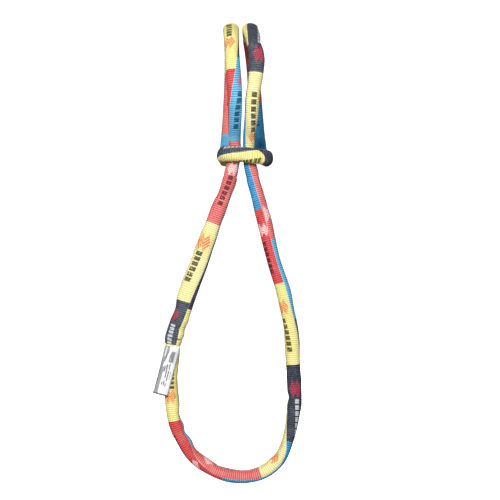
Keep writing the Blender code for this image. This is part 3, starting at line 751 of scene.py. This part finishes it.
def label_point(across, down, lift):
    """A point of the bent label: metres across from its middle, down from its top, and forwards."""
    low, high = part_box("label_film")
    rise = LABEL_WIDTH / 2 * math.sin(LABEL_LEAN)
    top_middle = np.array([rows_at([cuff_end])[0, 0], low[1] + LABEL_SET_BACK, high[2] - rise])
    turn = across / LABEL_BEND
    radius = LABEL_BEND + lift
    x, y = radius * math.sin(turn), LABEL_BEND - radius * math.cos(turn)
    lean_down = np.array([-math.sin(LABEL_LEAN), 0, -math.cos(LABEL_LEAN)])
    lean_across = np.array([math.cos(LABEL_LEAN), 0, -math.sin(LABEL_LEAN)])
    return top_middle + lean_down * down + lean_across * x + np.array([0, y, 0])


def label_sheet(name, width, top, bottom, thickness, hem):
    """A bent closed leaf with soft waves, and its own map across and down."""
    points, uv_of = [], []
    for face in (1, -1):
        for i in range(ROWS + 1):
            for j in range(COLUMNS + 1):
                across = (j / COLUMNS - 0.5) * width * face
                down = top + (bottom - top) * i / ROWS
                down -= (0.5 + across / width) * SLANT * max(0, 1 - down / SLANT_REACH)
                wave = noise.noise((across * 90 + 3, down * 55, WAVE_SEED)) * WAVE_HEIGHT
                wave *= min(1, down / 0.01)
                wave += RIPPLE_HEIGHT * math.sin(across * 420 + down * 60)
                edge = abs(across) / (width / 2)
                thin = thickness / 2 * (1 - hem * max(0, (edge - HEM_FROM) / (1 - HEM_FROM)))
                points.append(label_point(across, down, wave + face * thin))
                uv_of.append((across / width + 0.5, (down - top) / (bottom - top)))
    layer = (ROWS + 1) * (COLUMNS + 1)

    def front(i, j):
        return i * (COLUMNS + 1) + j

    def back(i, j):
        return layer + i * (COLUMNS + 1) + (COLUMNS - j)

    faces = []
    for base in (0, layer):
        for i in range(ROWS):
            for j in range(COLUMNS):
                a = base + front(i, j)
                faces.append((a, a + COLUMNS + 1, a + COLUMNS + 2, a + 1))
    for i in range(ROWS):
        faces.append((front(i, 0), back(i, 0), back(i + 1, 0), front(i + 1, 0)))
        faces.append((front(i, COLUMNS), front(i + 1, COLUMNS), back(i + 1, COLUMNS), back(i, COLUMNS)))
    for j in range(COLUMNS):
        faces.append((front(0, j), front(0, j + 1), back(0, j + 1), back(0, j)))
        faces.append((front(ROWS, j), back(ROWS, j), back(ROWS, j + 1), front(ROWS, j + 1)))
    mesh = bpy.data.meshes.new(name)
    mesh.from_pydata([tuple(p) for p in points], [], faces)
    layer_uv = mesh.uv_layers.new(name="sheet")
    for corner, loop in zip(layer_uv.data, mesh.loops):
        corner.uv = uv_of[loop.vertex_index]
    mesh.shade_smooth()
    made = bpy.data.objects.new(name, mesh)
    bpy.context.collection.objects.link(made)
    return made


# Painted reflections, highlights and shade on the insert: grey patches and dark and pale streaks at its top,
# a leaning highlight, and darker streaks down its shaded left side. Each mark: place across, lean, half
# width, top and bottom as shares of its size, and its colour and strength
LABEL_PAINTED_LIGHT = [(0.66, 0.0, 0.20, 0.07, 0.31, (98, 102, 107), 0.9),
                (0.36, -0.5, 0.045, 0.05, 0.30, (92, 96, 100), 0.85),
                (0.56, -0.80, 0.07, 0.01, 0.42, (252, 252, 253), 1.0),
                (0.16, 0.0, 0.05, 0.0, 0.20, (240, 241, 243), 0.8),
                (0.90, -0.05, 0.06, 0.04, 0.34, (214, 216, 219), 0.9),
                (0.60, 0.0, 0.03, 0.20, 0.30, (190, 192, 196), 0.8),
                (0.045, 0.0, 0.05, 0.25, 1.0, (98, 101, 105), 0.85),
                (0.15, 0.02, 0.035, 0.38, 0.62, (112, 115, 119), 0.8)]
LABEL_PRINT = [(0.37, 0.0, 0.050, 0.40, 0.52), (0.50, 0.0, 0.058, 0.36, 0.47), (0.53, 0.0, 0.046, 0.47, 0.64),
               (0.67, 0.0, 0.044, 0.34, 0.46), (0.68, 0.0, 0.044, 0.49, 0.70), (0.42, 0.0, 0.042, 0.74, 0.80),
               (0.55, 0.0, 0.048, 0.72, 0.80), (0.67, 0.0, 0.036, 0.76, 0.83), (0.83, 0.0, 0.020, 0.50, 0.66)]


def insert_finish():
    made, loom, shader = finish("label_print")
    across, down = loom.split(loom.add("ShaderNodeUVMap", {"uv_map": "sheet"}))
    place = loom.place()
    # painted shade: the insert's left part is painted grey, where the bent label turns away from the light
    shade_boundary = 0.34 - down * 0.06 + (loom.noise(place, 160.0) - 0.5) * 0.1
    painted_side_shade = 1 - loom.smooth(across - shade_boundary, -0.02, 0.03)
    paper = loom.mix(dye(238, 238, 241), dye(146, 149, 152), painted_side_shade)

    def band(start, lean, half, top, bottom, shade, share):
        """A soft-edged mark that runs down the insert, leaning across as it goes."""
        away = abs(across - start - (down - top) * lean)
        mark = (1 - loom.smooth(away, half * 0.6, half)) * loom.smooth(down, top - 0.015, top + 0.015)
        return loom.mix(paper, shade, mark * (1 - loom.smooth(down, bottom - 0.02, bottom + 0.02)) * share)

    patchy = 0.95 + (loom.noise(place, 420.0) - 0.5)
    # painted reflections, highlights and shade go on first, then the print
    for *mark, shade, share in LABEL_PAINTED_LIGHT:
        paper = band(*mark, dye(*shade), share)
    for mark in LABEL_PRINT:
        paper = band(*mark, dye(44, 47, 54), patchy)
    loom.plug(shader.inputs["Base Color"], paper)
    loom.plug(shader.inputs["Roughness"], 0.5 + loom.noise(place, 300.0) * 0.2)
    return made


def film_finish():
    made, loom, shader = finish("label_film_clear")
    across, down = loom.split(loom.add("ShaderNodeUVMap", {"uv_map": "sheet"}))
    place = loom.place()
    # painted reflections run down the film from its welded top as pale streaks, and the welds at its edges
    # are milky
    streaked = loom.add("ShaderNodeCombineXYZ", {}, {0: across * 9 + down * 2.2, 1: down * 1.3})
    reflection_streak = loom.noise(streaked, 2.0)
    weld = loom.smooth(abs(across - 0.5), 0.44, 0.48)
    foot = loom.smooth(down + (loom.noise(place, 260.0) - 0.5) * 0.05, 0.962, 0.978)
    # the veil is painted reflection in the streaks, milky welds at the edges and a faint film tint all over
    veil = loom.smooth(reflection_streak, 0.52, 0.64) * 0.16 + weld * 0.22 + 0.06
    colour = loom.mix(dye(226, 229, 230), dye(44, 47, 51), foot * 0.9)
    loom.plug(shader.inputs["Base Color"], colour)
    loom.plug(shader.inputs["Alpha"], veil + foot * 0.75)
    loom.plug(shader.inputs["Roughness"], 0.12 + loom.smooth(reflection_streak, 0.45, 0.7) * 0.25)
    shader.inputs["IOR"].default_value = 1.5
    return made


insert = label_sheet("label_insert_print", LABEL_WIDTH - 2 * INSERT_MARGIN, INSERT_TOP,
                     LABEL_LENGTH - INSERT_FOOT, INSERT_THICKNESS, hem=0.0)
insert.data.materials.append(insert_finish())
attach(insert, "label")
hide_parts("label_insert")
film = label_sheet("label_film_sleeve", LABEL_WIDTH, 0.0, LABEL_LENGTH, FILM_THICKNESS, hem=0.7)
film.data.materials.append(film_finish())
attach(film, "label")
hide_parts("label_film")

# ---- Floor, backdrop and lights -------------------------------------------------------------------
# A pale bowl all round the sling, which glows evenly and lights nothing. Lamps stand at the front
# left, low at the front right, and behind.
FLOOR_LEVEL, FLOOR_RADIUS, SWEEP_RADIUS, WALL_TOP, WALL_SIDES = -0.62, 2.6, 0.9, 3.2, 64
CENTRE_RADIUS, LIT_POINT = 0.5, np.array([0, 0, -0.2])
profile = [(CENTRE_RADIUS, FLOOR_LEVEL), (FLOOR_RADIUS, FLOOR_LEVEL)]
profile += [(FLOOR_RADIUS + SWEEP_RADIUS * math.sin(a), FLOOR_LEVEL + SWEEP_RADIUS * (1 - math.cos(a)))
            for a in np.linspace(0.1, math.pi / 2, 16)] + [(FLOOR_RADIUS + SWEEP_RADIUS, WALL_TOP)]
angles = [2 * math.pi * i / WALL_SIDES for i in range(WALL_SIDES)]
corners = [(radius * math.cos(a), radius * math.sin(a), z) for radius, z in profile for a in angles]
faces = [(k * WALL_SIDES + i, k * WALL_SIDES + (i + 1) % WALL_SIDES,
          (k + 1) * WALL_SIDES + (i + 1) % WALL_SIDES, (k + 1) * WALL_SIDES + i)
         for k in range(len(profile) - 1) for i in range(WALL_SIDES)]
bowl = bpy.data.meshes.new("backdrop")
bowl.from_pydata(corners, [], [tuple(range(WALL_SIDES))] + [face[::-1] for face in faces])
bowl.shade_smooth()
backdrop = bpy.data.objects.new("backdrop", bowl)
backdrop.visible_diffuse = backdrop.visible_glossy = backdrop.visible_shadow = False
paint, loom, shader = finish("backdrop_paint")
place = loom.place()
loom.plug(shader.inputs["Base Color"],
          loom.mix(dye(250, 250, 250), dye(244, 245, 246), loom.noise(place, 2.0)))
shader.inputs["Roughness"].default_value = 0.9
shader.inputs["Emission Color"].default_value = (1, 1, 1, 1)
shader.inputs["Emission Strength"].default_value = 1.0
bowl.materials.append(paint)
bpy.context.collection.objects.link(backdrop)

world = bpy.data.worlds.new("studio")
world.use_nodes = True
world.node_tree.nodes["Background"].inputs["Color"].default_value = (1, 1, 1, 1)
world.node_tree.nodes["Background"].inputs["Strength"].default_value = 0.13
bpy.context.scene.world = world
for name, place, size, power in (("key", (-0.40, -2.2, 0.45), 0.7, 60), ("fill", (1.3, -1.7, -0.3), 0.8, 6),
                                 ("back", (0.1, 2.3, 0.5), 0.9, 26)):
    data = bpy.data.lights.new(name, "AREA")
    data.size, data.energy = size, power
    lamp = bpy.data.objects.new(name, data)
    lamp.location = place
    aim = LIT_POINT - np.array(place)
    lamp.rotation_euler = (math.atan2(math.hypot(aim[0], aim[1]), -aim[2]), 0,
                           math.atan2(aim[1], aim[0]) - math.pi / 2)
    bpy.context.collection.objects.link(lamp)
